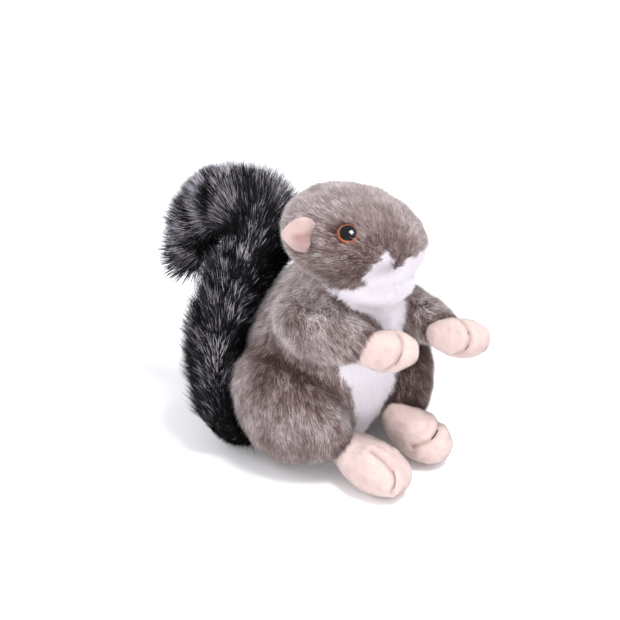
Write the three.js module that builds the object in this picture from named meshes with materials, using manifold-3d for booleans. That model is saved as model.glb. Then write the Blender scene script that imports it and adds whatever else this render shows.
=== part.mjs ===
// A sitting plush squirrel, 172 mm high, as the stuffed pieces it is sewn from.
// Millimetres, +Z up. It faces -Y, its own right side is at -X, and the origin is the middle of its seat.
// Each piece is drawn out to the tips of its pile.
import * as THREE from "three";
import { mergeVertices } from "three/addons/utils/BufferGeometryUtils.js";
import Module from "manifold-3d";

const wasm = await Module();
wasm.setup();

const SEAM_GAP = 0.3; // clearance between a piece and the neighbour it is sewn on to
const SETTLE = 1.5; // how far a form reaches under the floor line before the floor flattens it

const HEAD_TILT = THREE.MathUtils.degToRad(8); // the head leans to its own left
const EYE_DIAMETER = 12;
const EYE_THICKNESS = 7.5;
const EYE_SUNK = 2.5; // depth of its middle below the tips of the pile
const EYE_SHARE = 0.69; // where an eye sits along the head, from nape to nose
const EYE_TURN_RIGHT = THREE.MathUtils.degToRad(37); // and how far up round the head from its side
const EYE_TURN_LEFT = THREE.MathUtils.degToRad(20); // this one is lower, as the head leans
const TAIL_CUTS = [0.34, 0.64]; // where the tail is parted, as shares of its length

const LEFT = 1;
const RIGHT = -1;

// A value that runs smoothly through `stops`, spaced evenly from s = 0 to s = 1.
function between(stops, s) {
  if (typeof stops === "number") return stops;
  return new THREE.SplineCurve(stops.map((v, i) => new THREE.Vector2(i, v))).getPoint(s).y;
}

// A stuffed form: sections along a spine, closed at both ends. `wide` is a section's half width along
// `across`, `up` and `down` its half heights on the two sides of that, each a number or stops.
// `blunt` is 1 for ends as round as an egg's and less for fuller ones, and `square` is 2 for an
// elliptical section and more for one with fuller corners.
class Stuffed {
  constructor({ spine, across = [1, 0, 0], wide, up, down = up, blunt = 0.8, square = 2 }) {
    const knots = spine.map((p) => new THREE.Vector3(...p));
    this.spine = new THREE.CatmullRomCurve3(knots, false, "centripetal");
    this.across = new THREE.Vector3(...across);
    Object.assign(this, { wide, up, down, blunt, square });
  }

  // The point at share s of the spine and `turn` radians round it, 0 being along `across`.
  point(s, turn, grow = 0) {
    const end = Math.max(0, 1 - (2 * s - 1) ** 2) ** (this.blunt / 2);
    const tangent = this.spine.getTangentAt(s);
    const side = this.across.clone().addScaledVector(tangent, -this.across.dot(tangent)).normalize();
    const top = tangent.clone().cross(side);
    const full = (v) => Math.sign(v) * Math.abs(v) ** (2 / this.square);
    const sideways = full(Math.cos(turn));
    const upwards = full(Math.sin(turn));
    const height = between(upwards < 0 ? this.down : this.up, s);
    return this.spine
      .getPointAt(s)
      .addScaledVector(side, sideways * end * (between(this.wide, s) + grow))
      .addScaledVector(top, upwards * end * (height + grow))
      .addScaledVector(tangent, grow * (2 * s - 1) * (1 - end));
  }

  // The outward direction there.
  normal(s, turn) {
    const step = 1e-3;
    const along = this.point(s + step, turn).sub(this.point(s - step, turn));
    const round = this.point(s, turn + step).sub(this.point(s, turn - step));
    return round.cross(along).normalize();
  }

  // The closed solid of the stretch between two shares of the spine, with flat ends where it is parted.
  solid(rings, sides, grow = 0, from = 0, to = 1) {
    const shares = [];
    for (let i = 1; i < rings; i += 1) shares.push((1 - Math.cos((Math.PI * i) / rings)) / 2);
    const kept = shares.filter((s) => s > from + 0.5 / rings ** 2 && s < to - 0.5 / rings ** 2);
    if (from > 0) kept.unshift(from);
    if (to < 1) kept.push(to);
    const at = [];
    for (const s of kept) {
      for (let j = 0; j < sides; j += 1) at.push(this.point(s, (2 * Math.PI * j) / sides, grow));
    }
    const startCap = at.push(from > 0 ? this.spine.getPointAt(from) : this.point(0, 0, grow)) - 1;
    const endCap = at.push(to < 1 ? this.spine.getPointAt(to) : this.point(1, 0, grow)) - 1;
    const faces = [];
    const vertex = (i, j) => i * sides + (j % sides);
    const last = kept.length - 1;
    for (let j = 0; j < sides; j += 1) {
      faces.push(startCap, vertex(0, j + 1), vertex(0, j));
      faces.push(endCap, vertex(last, j), vertex(last, j + 1));
      for (let i = 0; i < last; i += 1) {
        faces.push(vertex(i, j), vertex(i, j + 1), vertex(i + 1, j + 1));
        faces.push(vertex(i, j), vertex(i + 1, j + 1), vertex(i + 1, j));
      }
    }
    return solidOf(new THREE.BufferGeometry().setFromPoints(at).setIndex(faces));
  }
}

// A three.js geometry as a manifold-3d solid.
function solidOf(geometry) {
  const bare = geometry.clone();
  bare.deleteAttribute("normal");
  bare.deleteAttribute("uv");
  const merged = mergeVertices(bare, 1e-3);
  return new wasm.Manifold(
    new wasm.Mesh({
      numProp: 3,
      vertProperties: merged.attributes.position.array,
      triVerts: new Uint32Array(merged.index.array),
    }),
  );
}

// A manifold-3d solid as a named three.js mesh.
function meshOf(name, solid, material) {
  const { numProp, vertProperties, triVerts } = solid.getMesh();
  const at = [];
  for (let i = 0; i < vertProperties.length; i += numProp) {
    at.push(vertProperties[i], vertProperties[i + 1], vertProperties[i + 2]);
  }
  const geometry = new THREE.BufferGeometry()
    .setAttribute("position", new THREE.Float32BufferAttribute(at, 3))
    .setIndex(Array.from(triVerts));
  const mesh = new THREE.Mesh(geometry, material);
  mesh.name = name;
  return mesh;
}

const cloth = (color) => new THREE.MeshStandardMaterial({ color, roughness: 0.95, metalness: 0 });
const GREY_PLUSH = cloth("#8d817c");
const VELOUR = cloth("#ecd6d2");
const TAIL_PLUSH = cloth("#35323a");
const EYE_PLASTIC = new THREE.MeshStandardMaterial({ color: "#15100e", roughness: 0.08, metalness: 0 });

// The head: a wide, flat-topped ball, with a fuller chin sewn in under it. It turns a little to its own left.
const HEAD_ACROSS = [Math.cos(HEAD_TILT), 0, -Math.sin(HEAD_TILT)];
const headForm = new Stuffed({
  spine: [
    [-6, 25, 147],
    [7.5, -57, 139],
  ],
  across: HEAD_ACROSS,
  wide: [38, 43, 44, 43, 38],
  up: [30, 29, 28, 25, 19],
  down: [20, 26, 28, 28, 25],
  blunt: 0.72,
  square: 2.15,
});
const chinForm = new Stuffed({
  spine: [
    [-2, 6, 126],
    [4, -56, 119],
  ],
  across: HEAD_ACROSS,
  wide: [26, 31, 33, 30, 25],
  up: 12,
  down: [8, 12, 16, 18, 16],
  blunt: 0.75,
});

// The trunk: a pear that leans forward.
const trunkForm = new Stuffed({
  spine: [
    [0, 3, -SETTLE],
    [0, 4, 40],
    [0, -2, 80],
    [0, -16, 134],
  ],
  wide: [46, 53, 53, 43, 35],
  up: [42, 50, 50, 42, 28],
  down: [34, 40, 39, 41, 41],
  blunt: 0.55,
});

// A haunch: the folded hind leg, a thick round pad on the side of the seat.
const haunchForms = {
  [RIGHT]: new Stuffed({
    spine: [
      [-34, 42, 36],
      [-39, 4, 38],
      [-30, -45, 29],
    ],
    across: [1, 0, 0.18],
    wide: [20, 25, 26, 23, 16],
    up: [30, 41, 42, 36, 22],
    down: [32, 40, 42, 36, 22],
  }),
  [LEFT]: new Stuffed({
    spine: [
      [37, 36, 36],
      [42, -2, 38],
      [32, -47, 29],
    ],
    across: [1, 0, -0.18],
    wide: [20, 25, 25, 23, 16],
    up: [30, 40, 40, 34, 22],
    down: [32, 40, 42, 36, 22],
  }),
};

const footForms = {
  [RIGHT]: new Stuffed({
    spine: [
      [-24, -25, 24],
      [-23, -48, 16],
      [-22, -81, 12.2],
    ],
    wide: [11, 13.5, 16.5, 18, 17.5],
    up: [13, 14, 15, 15.5, 15],
    down: [13, 14, 14.5, 14.5, 14.5],
    blunt: 0.7,
  }),
  [LEFT]: new Stuffed({
    spine: [
      [25, -22, 24],
      [24, -42, 15.8],
      [20.5, -75, 12.2],
    ],
    wide: [11, 13, 15, 16, 16],
    up: [13, 14, 14.5, 14.5, 14],
    down: [13, 14, 14, 14.5, 14.5],
    blunt: 0.7,
  }),
};

// The right arm folds in over the chest, and the left one reaches out.
const armForms = {
  [RIGHT]: new Stuffed({
    spine: [
      [-28, 12, 104],
      [-35, -8, 98],
      [-30, -31, 91],
      [-14, -56, 92],
    ],
    wide: [14, 18, 18, 16, 13],
    up: [14, 20, 24, 24, 17],
    down: [14, 18, 17, 14, 12],
    blunt: 0.7,
  }),
  [LEFT]: new Stuffed({
    spine: [
      [28, 12, 90],
      [38, -10, 86],
      [41, -38, 82.5],
      [39, -67, 81.5],
    ],
    wide: [14, 18, 18, 17, 14],
    up: [14, 18, 17, 16, 14],
    blunt: 0.7,
  }),
};

const handForms = {
  [RIGHT]: new Stuffed({
    spine: [
      [-27, -40, 87],
      [-20, -52, 89],
      [-6, -74, 92],
    ],
    wide: [8, 10, 10.5, 11, 11],
    up: [9, 11, 12, 12, 11],
    blunt: 0.7,
  }),
  [LEFT]: new Stuffed({
    spine: [
      [29, -50, 83],
      [35, -61, 81.5],
      [50, -81, 79.5],
    ],
    wide: [8, 10, 10.5, 11, 11],
    up: [9, 11, 12, 12, 11],
    blunt: 0.7,
  }),
};

// An ear: a small folded flap, laid back along the head. The left one is lower, as the head leans.
const earForms = {
  [RIGHT]: new Stuffed({
    spine: [
      [-32, -21, 156],
      [-42, -16, 157],
      [-50, -8, 157],
    ],
    across: [0, 0, 1],
    wide: [8, 10.5, 11, 9, 5],
    up: [2.2, 2.4, 2.4, 2.2, 1.8],
  }),
  [LEFT]: new Stuffed({
    spine: [
      [31, -14, 142],
      [43, -6, 140],
      [50, 4, 138],
    ],
    across: [0, 0, 1],
    wide: [8, 10.5, 11, 9, 5],
    up: [2.2, 2.4, 2.4, 2.2, 1.8],
  }),
};

// The tail leaves the seat low at the back, lies round the right haunch, rises, and rolls over backwards.
const tailForm = new Stuffed({
  spine: [
    [-8, 27, 17],
    [-31, 31, 12],
    [-49, 37, 22],
    [-48, 45, 49],
    [-38, 49, 77],
    [-23, 49, 104],
    [-12, 51, 128],
    [-14, 68, 141],
    [-18, 90, 131],
    [-21, 102, 104],
    [-24, 104, 74],
  ],
  across: [1, 0.5, 0],
  wide: [16, 22, 25, 26, 26, 25, 24, 21, 16],
  up: [17, 24, 25, 26, 26, 22, 20, 30, 30],
  down: [14, 19, 23, 25, 25, 26, 24, 24, 23],
});

// An eye: a plastic dome set on the side of the face.
function eyeForm(side) {
  const turn = side === LEFT ? EYE_TURN_LEFT : Math.PI - EYE_TURN_RIGHT;
  const seat = headForm.point(EYE_SHARE, turn);
  const out = headForm.normal(EYE_SHARE, turn);
  const at = (height) => seat.clone().addScaledVector(out, height - EYE_SUNK).toArray();
  return new Stuffed({
    spine: [at(-EYE_THICKNESS / 2), at(EYE_THICKNESS / 2)],
    across: [0, 0, 1],
    wide: EYE_DIAMETER / 2,
    up: EYE_DIAMETER / 2,
    blunt: 0.6,
  });
}

const group = new THREE.Group();
const underFloor = solidOf(new THREE.BoxGeometry(400, 400, 40).translate(0, 0, -20));
const placed = [underFloor];

// Adds a node. It gives way to every piece added before it.
function add(name, forms, [rings, sides], material, from, to) {
  const joined = (grow) =>
    forms.map((form) => form.solid(rings, sides, grow, from, to)).reduce((a, b) => a.add(b));
  const solid = placed.reduce((rest, other) => rest.subtract(other), joined(0));
  placed.push(joined(SEAM_GAP));
  group.add(meshOf(name, solid, material));
}

const sides = [
  ["right", RIGHT],
  ["left", LEFT],
];
for (const [word, side] of sides) add(`eye_${word}`, [eyeForm(side)], [8, 16], EYE_PLASTIC);
add("head", [headForm, chinForm], [16, 22], GREY_PLUSH);
for (const [word, side] of sides) {
  add(`ear_${word}`, [earForms[side]], [10, 12], VELOUR);
  add(`foot_${word}`, [footForms[side]], [14, 16], VELOUR);
  add(`haunch_${word}`, [haunchForms[side]], [14, 18], GREY_PLUSH);
  add(`hand_${word}`, [handForms[side]], [14, 14], VELOUR);
  add(`arm_${word}`, [armForms[side]], [12, 14], GREY_PLUSH);
}
add("trunk", [trunkForm], [14, 22], GREY_PLUSH);

const half = SEAM_GAP / 2 / tailForm.spine.getLength();
const [low, high] = TAIL_CUTS;
add("tail_base", [tailForm], [32, 16], TAIL_PLUSH, 0, low - half);
add("tail_middle", [tailForm], [32, 16], TAIL_PLUSH, low + half, high - half);
add("tail_tip", [tailForm], [32, 16], TAIL_PLUSH, high + half, 1);

export default group;
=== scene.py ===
"""A sitting plush squirrel. Its stuffed cover is a skin, and the pile on it is a coat of solid tufts.

Lengths here are in millimetres and are turned to metres by mm(). The toy faces -Y and its right side is
at -X.
"""

import math

import bpy
import numpy as np
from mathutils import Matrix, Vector
from mathutils.bvhtree import BVHTree
from mathutils.kdtree import KDTree


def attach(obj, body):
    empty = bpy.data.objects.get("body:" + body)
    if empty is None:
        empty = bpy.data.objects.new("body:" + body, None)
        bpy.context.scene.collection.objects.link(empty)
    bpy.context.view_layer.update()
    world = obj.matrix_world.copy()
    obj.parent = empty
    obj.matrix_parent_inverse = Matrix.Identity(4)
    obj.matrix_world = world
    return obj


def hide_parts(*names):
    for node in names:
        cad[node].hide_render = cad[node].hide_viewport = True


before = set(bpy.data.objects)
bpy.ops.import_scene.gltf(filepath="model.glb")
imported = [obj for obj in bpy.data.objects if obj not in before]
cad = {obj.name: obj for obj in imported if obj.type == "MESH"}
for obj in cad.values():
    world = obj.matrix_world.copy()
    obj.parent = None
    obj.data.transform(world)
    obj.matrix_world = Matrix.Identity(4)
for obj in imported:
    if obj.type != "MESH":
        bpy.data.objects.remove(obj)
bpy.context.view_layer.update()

scene = bpy.context.scene

# The pile. A coat's depth is how far its tips stand off the skin.
BODY_DEPTH = 3.2
FACE_DEPTH = 1.8
TAIL_DEPTH = 8.5
TAIL_BASE_DEPTH = 3
TAIL_SPINE = [
    (-8, 27, 17), (-31, 31, 12), (-49, 37, 22), (-48, 45, 49), (-38, 49, 77), (-23, 49, 104),
    (-12, 51, 128), (-14, 68, 141), (-18, 90, 131), (-21, 102, 104), (-24, 104, 74),
]
TAIL_FAN = (-24, 70, 90)  # where the strands of its upper part spread from
PATCH = 0.003  # how wide a tuft's place is on the coat's unwrap

EYE_RADIUS = 5.9
EYE_BULGE = 2.3  # how far its dome stands out from its middle
EYE_BACK = 3  # and how deep its back goes
EYE_SWING = 0.04  # how far it looks round to the side, as a share of its axis
EYE_LIFT = {"eye_right": 0.2, "eye_left": -1.0}  # how far it sits out from its node
EYE_REACH = 8  # how far along its axis the cover and the pile heed it

# The face, in the frame.
NOSE = (-5, -60, 136)
HEAD_MIDDLE = (0, -18, 142)

# Colours along a fibre from its root, and on the eye from its middle.
GREY_PILE = [(0.1, "#33201c"), (0.36, "#6d5551"), (0.6, "#a49390"), (0.85, "#e1d9d8")]
WHITE_PILE = [(0.1, "#d6c9d0"), (0.35, "#ede4ec"), (0.6, "#f6f0f7"), (0.85, "#fbf6fc")]
TAIL_PILE = [(0.42, "#010102"), (0.6, "#0b0a0d"), (0.7, "#4a464d"), (0.86, "#c2bdc6")]
VELOUR_NAP = [(0.3, "#bda7a2"), (0.5, "#cbb6b0"), (0.7, "#d7c3be")]
# The painted shade in the velour's creases and the ears' folds.
VELOUR_SHADE = "#9a7c78"
EYE_RINGS = [(0.0, "#050405"), (0.8, "#050405"), (0.83, "#5a2a18"), (0.88, "#a8582f"), (1.0, "#7a3a1c")]

# The view.
AIM = (-8.09, 10.49, 88.32)
BACK = (-0.630, -0.630, 0.454)
CAMERA_DISTANCE = 900
FIELD_WIDTH = 372
SENSOR = 36
PICTURE = 620  # pixels on a side

LAMPS = {
    # name: place and size in metres, power in watts
    "top box": ((0.03, -0.5, 1.45), 0.42, 17.5),
    "front box": ((-1.5, -0.9, 0.3), 1.4, 19),
    "back box": ((-0.9, 1, 1.1), 0.9, 4),
    "fill box": ((-0.25, -1.6, 0.35), 1, 3),
}
LAMPS_LOOK_AT = (0, 0, 80)


def mm(*values):
    """Millimetres as metres: one number, or a Vector of three."""
    return values[0] / 1000 if len(values) == 1 else Vector(values) / 1000


def linear(hex_colour):
    """An sRGB hex colour as the linear one that a shader takes."""
    parts = [int(hex_colour[i : i + 2], 16) / 255 for i in (1, 3, 5)]
    return tuple(c / 12.92 if c <= 0.04045 else ((c + 0.055) / 1.055) ** 2.4 for c in parts) + (1,)


def add_node(tree, kind, links=None, **settings):
    """A node with its settings. links gives an input its value, or the socket that feeds it."""
    node = tree.nodes.new(kind)
    for name, value in settings.items():
        setattr(node, name, value)
    for key, value in (links or {}).items():
        socket = node.inputs[key]
        if isinstance(value, bpy.types.NodeSocket):
            tree.links.new(value, socket)
        else:
            socket.default_value = value
    return node


def only(*pieces):
    """Selects these pieces and nothing else."""
    bpy.ops.object.select_all(action="DESELECT")
    for piece in pieces:
        piece.select_set(True)
    bpy.context.view_layer.objects.active = pieces[0]


def modified(piece, kind, **settings):
    """Adds a modifier to a piece and applies it."""
    only(piece)
    modifier = piece.modifiers.new(kind, kind)
    for name, value in settings.items():
        setattr(modifier, name, value)
    bpy.ops.object.modifier_apply(modifier=modifier.name)
    return piece


def set_mode(kind):
    bpy.ops.object.mode_set(mode=kind)


def tidied(piece):
    """Merges a mesh's doubled points and turns its faces outwards."""
    only(piece)
    set_mode("EDIT")
    bpy.ops.mesh.select_all(action="SELECT")
    bpy.ops.mesh.remove_doubles(threshold=mm(0.01))
    bpy.ops.mesh.normals_make_consistent(inside=False)
    set_mode("OBJECT")
    return piece


def placed(name, data):
    thing = bpy.data.objects.new(name, data)
    scene.collection.objects.link(thing)
    return thing


def twin_of(piece):
    """A copy of a piece with a mesh of its own."""
    twin = piece.copy()
    twin.data = piece.data.copy()
    scene.collection.objects.link(twin)
    return twin


def copy_of(name, *nodes):
    """A new piece from copies of CAD nodes, joined."""
    copies = [twin_of(cad[node]) for node in nodes]
    for twin in copies:
        twin.parent = None
        for key in list(twin.keys()):
            del twin[key]
    only(*copies)
    if len(copies) > 1:
        bpy.ops.object.join()
    piece = copies[0]
    piece.name = piece.data.name = name
    piece.data.materials.clear()
    return tidied(piece)


def remeshed(piece, voxel):
    return modified(piece, "REMESH", mode="VOXEL", voxel_size=mm(voxel))


def read(items, key, width, kind=np.float32):
    """One property of many items, a row for each."""
    found = np.empty(len(items) * width, kind)
    items.foreach_get(key, found)
    return found.reshape(-1, width)


def places(piece):
    """A mesh's points, in metres."""
    return read(piece.data.vertices, "co", 3).astype(float)


def normals(piece):
    return read(piece.data.vertex_normals, "vector", 3).astype(float)


def move_to(piece, points):
    piece.data.vertices.foreach_set("co", points.astype(np.float32).ravel())
    piece.data.update()
    return piece


def surface_of(piece):
    """A piece's surface, to find the nearest place on."""
    piece.data.calc_loop_triangles()
    triangles = read(piece.data.loop_triangles, "vertices", 3, np.int32)
    return BVHTree.FromPolygons(places(piece).tolist(), triangles.tolist())


def distances(points, surface, reach=0.05):
    """How far each point is from a surface, up to reach."""
    found = [surface.find_nearest(p, reach)[3] for p in points.tolist()]
    return np.array([reach if d is None else d for d in found])


def smooth(share):
    share = np.clip(share, 0, 1)
    return share * share * (3 - 2 * share)


def rising(value, start, run):
    """0 up to the start, and softly up to 1 over a run from there."""
    return smooth((value - start) / run)


def falling(value, end, run):
    """1 until a run before the end, and softly down to 0 at the end."""
    return smooth((end - value) / run)


def hump(value, middle, reach):
    """1 at the middle, and about a third at a reach from it on either side."""
    return np.exp(-(((value - middle) / reach) ** 2))


def close_to(at, surface, reach):
    """1 on a surface, and softly down to 0 at a reach from it."""
    return falling(distances(at, surface, mm(reach)), mm(reach), mm(reach))


RIPPLE_WAVES = 7
RIPPLE_HEIGHT = 2.6  # about as high as so many waves reach together


def ripple(points, size, seed):
    """A soft random field, from about -1 to 1, whose lumps are about size millimetres apart."""
    rng = np.random.default_rng(seed)
    total = np.zeros(len(points))
    for _ in range(RIPPLE_WAVES):
        way = rng.normal(size=3)
        way *= 2 * math.pi / mm(size) * rng.uniform(0.6, 1.2) / np.linalg.norm(way)
        total += np.sin(points @ way + rng.uniform(0, 2 * math.pi))
    return total / RIPPLE_HEIGHT


def norm(vectors):
    return np.linalg.norm(vectors, axis=-1, keepdims=True)


def unit(vectors):
    return vectors / np.maximum(norm(vectors), 1e-12)


def level(vectors, out):
    """Vectors less their part along the way out."""
    return vectors - (vectors * out).sum(1, keepdims=True) * out


SEARCH_ROUNDS = 12  # for the place nearest to a line of sight that misses


def seen(surface, right, down):
    """The place on a surface that shows at a pixel of the view, or lies nearest to it, and its facing."""
    back = Vector(BACK).normalized()
    across = Vector((0, 0, 1)).cross(back).normalized()
    pixel = mm(FIELD_WIDTH) / PICTURE
    target = mm(*AIM) + (across * (right - PICTURE / 2) - back.cross(across) * (down - PICTURE / 2)) * pixel
    start = mm(*AIM) + back * mm(CAMERA_DISTANCE)
    sight = (target - start).normalized()
    found = surface.ray_cast(start, sight)
    if found[0] is None:
        found = surface.find_nearest(target)
        for _ in range(SEARCH_ROUNDS):
            found = surface.find_nearest(start + sight * sight.dot(found[0] - start))
    return found[:2]


# Camera, floor and light.


def add_camera():
    data = bpy.data.cameras.new("camera")
    data.sensor_width = SENSOR
    data.lens = SENSOR * CAMERA_DISTANCE / FIELD_WIDTH
    data.clip_start, data.clip_end = 0.01, 20
    camera = placed("camera", data)
    back = Vector(BACK).normalized()
    camera.location = mm(*AIM) + back * mm(CAMERA_DISTANCE)
    camera.rotation_euler = (-back).to_track_quat("-Z", "Y").to_euler()
    scene.camera = camera


def add_lamp(name, place, size, power):
    """A soft square lamp that looks at the toy's middle."""
    data = bpy.data.lights.new(name, "AREA")
    data.size, data.energy = size, power
    lamp = placed(name, data)
    lamp.location = place
    lamp.rotation_euler = (Vector(place) - mm(*LAMPS_LOOK_AT)).to_track_quat("Z", "Y").to_euler()


def add_studio():
    bpy.ops.mesh.primitive_plane_add(size=14)
    floor = bpy.context.object
    floor.name = "floor"
    finish = {"Base Color": linear("#fdfdfd"), "Roughness": 0.9, "Specular IOR Level": 0.1}
    floor.data.materials.append(started("matt white paper", finish)[0])
    world = bpy.data.worlds.new("studio")
    world.use_nodes = True
    sky = world.node_tree.nodes["Background"]
    sky.inputs["Color"].default_value = linear("#faf8ff")
    sky.inputs["Strength"].default_value = 0.95
    scene.world = world
    for name, lamp in LAMPS.items():
        add_lamp(name, *lamp)
    scene.view_settings.view_transform = "Standard"


# Stuffed skins.


def inset(piece, depth, voxel):
    """Draws a closed piece in by depth all over, by the distance to its surface."""
    tree = bpy.data.node_groups.new("inset", "GeometryNodeTree")
    tree.interface.new_socket("Geometry", in_out="INPUT", socket_type="NodeSocketGeometry")
    tree.interface.new_socket("Geometry", in_out="OUTPUT", socket_type="NodeSocketGeometry")
    start = add_node(tree, "NodeGroupInput")
    band = {"Mesh": start.outputs[0], "Voxel Size": mm(voxel), "Interior Band Width": mm(2 * depth)}
    cloud = add_node(tree, "GeometryNodeMeshToVolume", band, resolution_mode="VOXEL_SIZE")
    edge = {"Volume": cloud.outputs[0], "Threshold": 0.5}
    shell = add_node(tree, "GeometryNodeVolumeToMesh", edge, resolution_mode="GRID")
    add_node(tree, "NodeGroupOutput", {0: shell.outputs[0]})
    return modified(piece, "NODES", node_group=tree)


CLOTH_FRAMES = 20  # how long the cloth is blown up for


def filled(piece, voxel=3.0, most=1.0):
    """Blows a piece up a little, as its filling does. No point moves further than most."""
    remeshed(piece, voxel)
    before = places(piece)
    only(piece)
    cloth = piece.modifiers.new("Cloth", "CLOTH")
    cloth.settings.quality = 4
    cloth.settings.mass = 0.2
    cloth.settings.use_pressure = True
    cloth.settings.uniform_pressure_force = 4
    cloth.settings.effector_weights.gravity = 0
    cloth.point_cache.frame_start, cloth.point_cache.frame_end = 1, CLOTH_FRAMES
    for number in range(1, CLOTH_FRAMES + 1):
        scene.frame_set(number)
    bpy.ops.object.modifier_apply(modifier=cloth.name)
    scene.frame_set(1)
    step = places(piece) - before
    move_to(piece, before + step * np.minimum(1, mm(most) / np.maximum(norm(step), 1e-9)))
    modified(piece, "SUBSURF", levels=1, render_levels=1)
    piece.data.shade_smooth()
    return piece


def raised(piece, surface, share, depth):
    """Brings a cover up to a smaller depth under a surface where share is more than 0."""
    at = places(piece)
    for k in np.flatnonzero(share > 0.01):
        near, _, _, gap = surface.find_nearest(at[k].tolist())
        if gap > mm(depth):
            at[k] += (np.array(near) - at[k]) * (1 - mm(depth) / gap) * share[k]
    return move_to(piece, at)


CREASE_FILL = 0.4  # a crease that is deeper than this is filled whole


def eased(piece, share, rounds, bumps=False):
    """Fills a cover's creases with a smoother run where share is more than 0. With bumps, these go too."""
    before, out = places(piece), normals(piece)
    modified(piece, "SMOOTH", factor=0.6, iterations=rounds)
    step = places(piece) - before
    fills = share if bumps else smooth((step * out).sum(1) / mm(CREASE_FILL)) * share
    return move_to(piece, before + step * fills[:, None])


BODY_NODES = ["head", "trunk", "arm_right", "arm_left", "haunch_right", "haunch_left"]
PAW_NODES = ["hand_right", "hand_left", "foot_right", "foot_left"]
TAIL_NODES = ["tail_base", "tail_middle", "tail_tip"]
EAR_NODES = ["ear_right", "ear_left"]
EYE_NODES = ["eye_right", "eye_left"]
WHITE_NODES = ["head", "trunk"]  # the nodes with white on them

BODY_VOXEL, TAIL_VOXEL, TAIL_BASE_VOXEL = 1.4, 1.6, 1.2


def make_body():
    """The body's cover: head, trunk, arms and haunches, sewn to each other."""
    body = copy_of("body_cover", *BODY_NODES, *PAW_NODES, *EAR_NODES, *EYE_NODES)
    remeshed(body, BODY_VOXEL)
    whole = surface_of(body)
    inset(body, depth=BODY_DEPTH + 0.4, voxel=BODY_VOXEL)
    filled(body)
    at = places(body)
    face = face_share(at) * rising(at[:, 2], mm(112), mm(12))
    raised(body, whole, face, FACE_DEPTH)
    x, y, z = (at / mm(1)).T
    shoulders = rising(z, 80, 14) * rising(y, -36, 12)
    bib = falling(y, -14, 10) * rising(z, 84, 10) * falling(abs(x), 40, 10)
    eased(body, np.maximum(shoulders, bib), rounds=220)
    chin = falling(y, -28, 8) * falling(z, 138, 8) * rising(z, 98, 8)
    eased(body, chin, rounds=30, bumps=True)
    body.data.shade_smooth()
    return seated(body)


def make_tail():
    """The tail's cover. It is nearly full size where it lies on the floor, as its pile is short there."""
    tail = copy_of("tail_cover", *TAIL_NODES)
    remeshed(tail, TAIL_VOXEL)
    inset(tail, depth=TAIL_DEPTH + 0.5, voxel=TAIL_VOXEL)
    base = copy_of("tail_base_cover", "tail_base")
    remeshed(base, TAIL_VOXEL)
    inset(base, depth=TAIL_BASE_DEPTH, voxel=TAIL_BASE_VOXEL)
    at = places(base)
    inwards = COURSE[nearest_on_course(at)] - at
    sunk = rising(at[:, 2], mm(14), mm(28)) * mm(TAIL_DEPTH - TAIL_BASE_DEPTH + 3)
    move_to(base, at + unit(inwards) * np.minimum(sunk[:, None], norm(inwards)))
    only(tail, base)
    bpy.ops.object.join()
    filled(tail)
    modified(tail, "SMOOTH", factor=0.5, iterations=4)
    tail.data.shade_smooth()
    return tail


# The crease that parts a paw's two toes, by pixels of the view.
TOE_CREASES = {
    "hand_right": [(400, 335), (402, 339), (402.5, 346), (401, 354), (397, 362), (391, 368)],
    "hand_left": [(462, 320), (466, 325), (469.5, 333), (470.5, 340), (467, 348), (461, 353)],
    "foot_right": [(377, 455), (382, 459), (389, 466), (393.5, 473), (395.5, 481), (393.5, 488)],
    "foot_left": [(441, 421), (438, 428), (435, 434), (431, 439), (425, 442), (418, 445)],
}
# The thread shows in parts of the crease: its run, and how thick it is in mm.
TOE_THREADS = {
    "hand_right": [([(401.5, 353), (399.5, 359), (395, 365)], 0.16)],
    "hand_left": [([(468, 331), (469, 335)], 0.26), ([(468.5, 345), (465.5, 350)], 0.26)],
    "foot_right": [([(393, 471), (395.2, 478), (395, 485), (393.5, 489)], 0.2)],
    "foot_left": [([(437.5, 430), (436, 433.5), (433.5, 437), (431.5, 439.5)], 0.5)],
}


RUN_STEPS, RUN_ROUNDS = 8, 12  # places on a run for each of its knots, and how often it is smoothed


def run_on(surface, marks, beyond=False):
    """A smooth run of places on a surface through pixels of the view, and on past its ends with beyond."""
    knots = np.array([seen(surface, *mark)[0] for mark in marks])
    if beyond:
        ends = [2 * knots[0] - knots[1], 2 * knots[-1] - knots[-2]]
        ends = [np.array(surface.find_nearest(end)[0]) for end in ends]
        knots = np.vstack([ends[0], knots, ends[1]])
    at = np.linspace(0, len(knots) - 1, RUN_STEPS * len(knots))
    smoother = np.stack([np.interp(at, np.arange(len(knots)), knots[:, k]) for k in range(3)], 1)
    for _ in range(RUN_ROUNDS):
        smoother[1:-1] = (smoother[:-2] + 2 * smoother[1:-1] + smoother[2:]) / 4
    return np.array([surface.find_nearest(place)[0] for place in smoother.tolist()])


# A paw's crease, with a swell on either side of it: depth or height, and reach.
CREASE_DEPTH, CREASE_REACH = 1.2, 1.8
SWELL_HEIGHT, SWELL_AWAY, SWELL_REACH = 0.5, 4.5, 2.5
# The painted shade along the crease: how dark, and how wide.
CREASE_SHADE, CREASE_TONE_REACH = 0.55, 1.2
# The lumps of its filling: height, size and seed.
PAW_LUMPS = [(0.25, 9, 51), (0.12, 4, 52)]


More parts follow.
